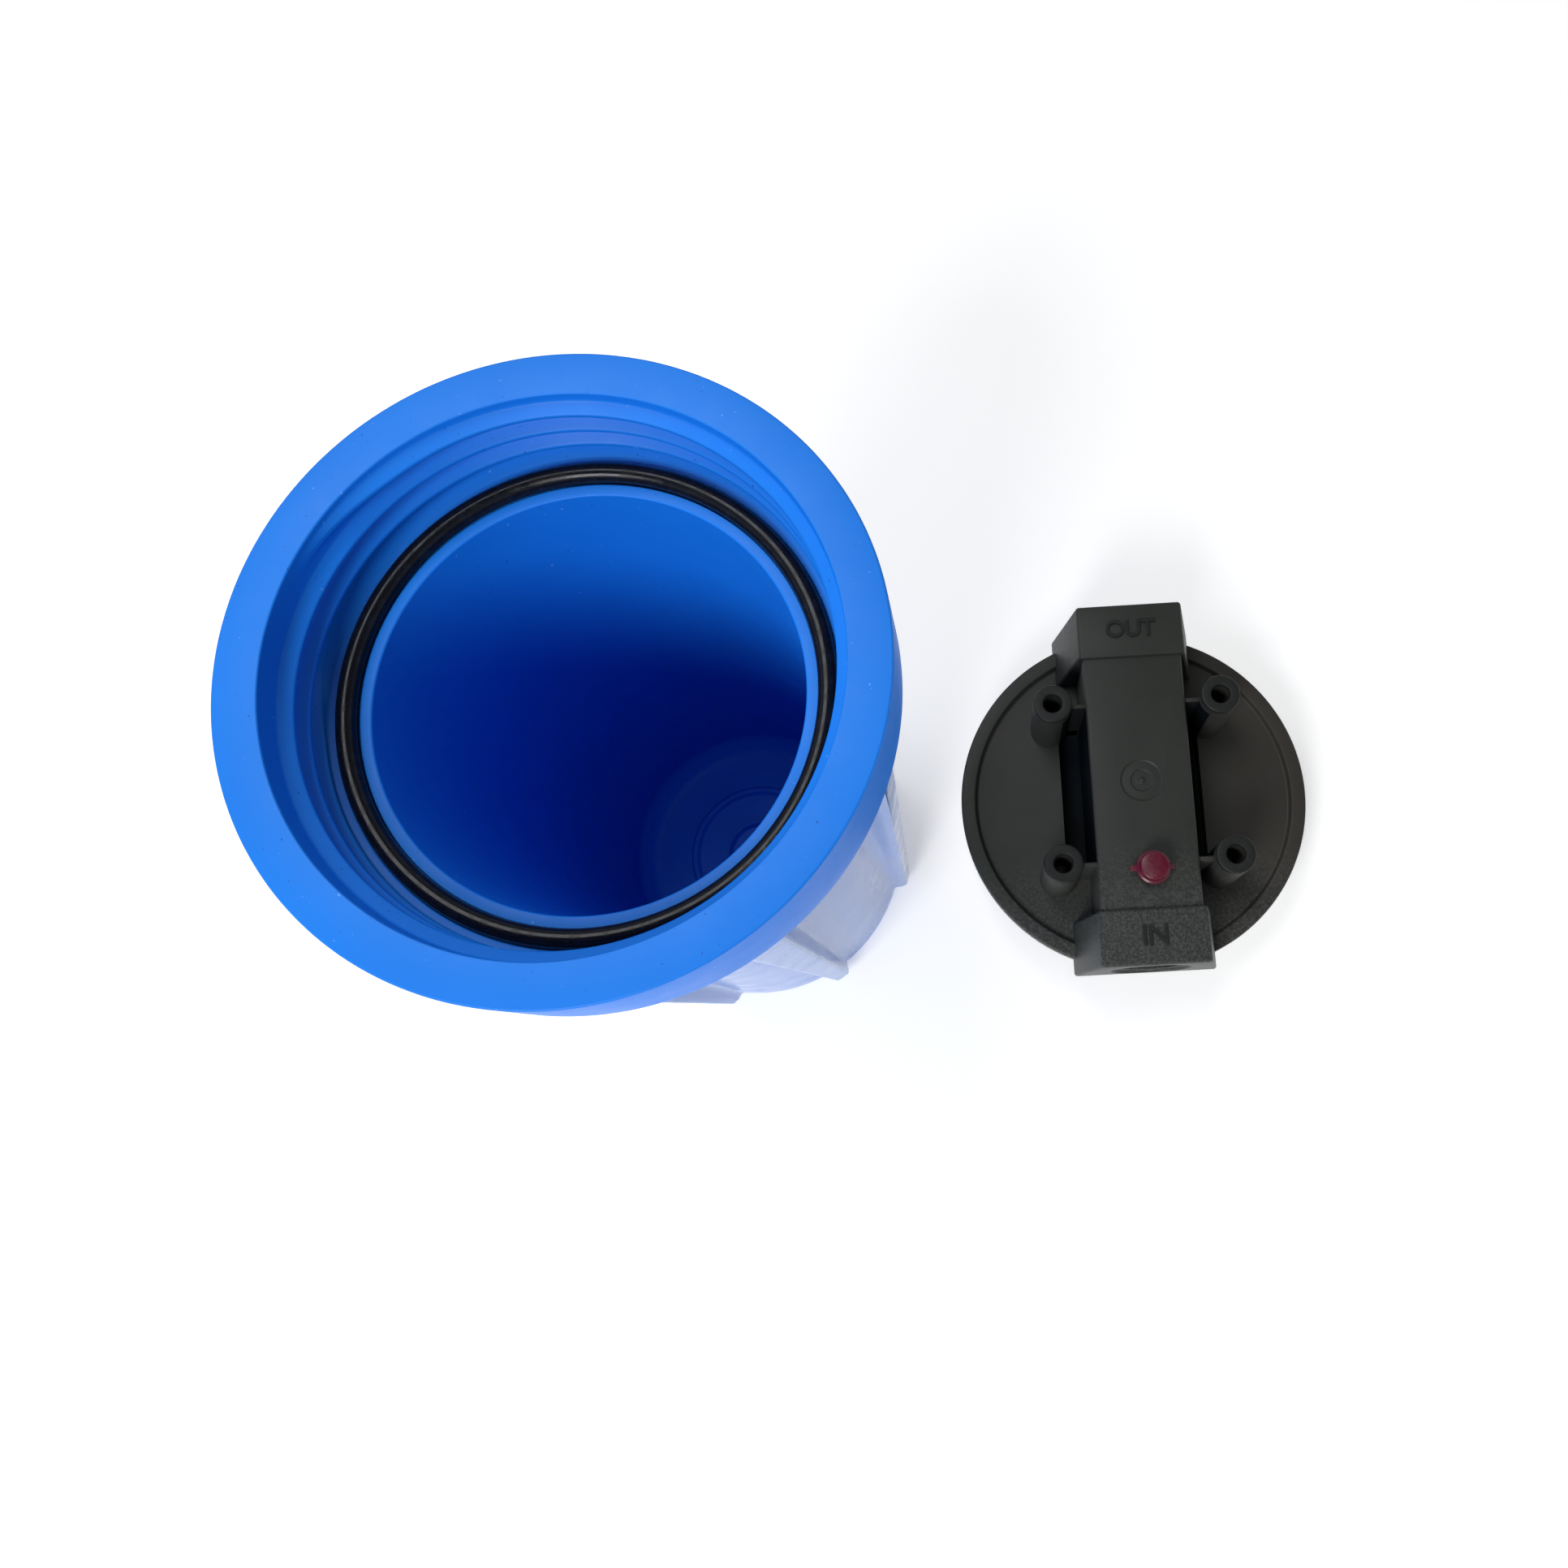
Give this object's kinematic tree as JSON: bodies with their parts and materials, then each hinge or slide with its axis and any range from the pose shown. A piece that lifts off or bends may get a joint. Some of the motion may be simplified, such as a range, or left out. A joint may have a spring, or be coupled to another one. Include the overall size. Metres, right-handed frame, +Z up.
{
  "type": "cartridge filter housing",
  "caption": "Screw-together water filter housing, open: upright ribbed sump with its sealing ring seated, and beside it the ported cap with a push-to-vent relief button.",
  "frame": {"origin": "on the ground below the middle of the whole layout's box", "axes": "+Z up along the sump's and the cap's axes, +Y along the cap's ports towards the outlet, +X from the sump towards the cap"},
  "size_m": [0.3588, 0.1864, 0.282],
  "materials": {
    "blue_plastic": "semi-gloss moulded polypropylene",
    "black_plastic": "fine-grained moulded polypropylene",
    "seal_rubber": "smooth greased rubber",
    "red_plastic": "glossy moulded acetal",
    "spring_steel": "bright stainless steel"
  },
  "bodies": {
    "cap": {"cap_top": "black_plastic", "cap_skirt": "black_plastic", "cap_outlet_tube": "black_plastic", "cap_inlet_block": "black_plastic", "cap_inlet_channel": "black_plastic", "cap_outlet_channel": "black_plastic", "cap_outlet_block": "black_plastic", "cap_post_1": "black_plastic", "cap_post_2": "black_plastic", "cap_post_3": "black_plastic", "cap_post_4": "black_plastic", "relief_spring": "spring_steel"},
    "main_o_ring": {"main_o_ring": "seal_rubber"},
    "sump": {"sump": "blue_plastic"},
    "relief_valve": {"relief_button": "red_plastic", "relief_seal": "seal_rubber", "relief_washer": "spring_steel", "relief_screw": "spring_steel"}
  },
  "joints": [
    {"name": "sump_rise", "type": "slide", "parent": "cap", "child": "main_o_ring", "axis": [0, 0, 1], "range_m": [0, 0.0251]},
    {"name": "sump_turn", "type": "hinge", "parent": "main_o_ring", "child": "sump", "pos_m": [-0.0874, -0.0012, 0], "axis": [0, 0, 1], "range_deg": [0, 1200]},
    {"name": "relief_press", "type": "slide", "parent": "cap", "child": "relief_valve", "axis": [0, 0, -1], "range_m": [0, 0.003], "stiffness_N_per_m": 800, "deforming": ["relief_spring"]}
  ],
  "couplings": [
    {"joint": "sump_rise", "follows": "sump_turn", "m_per_rad": 0.0011937}
  ]
}
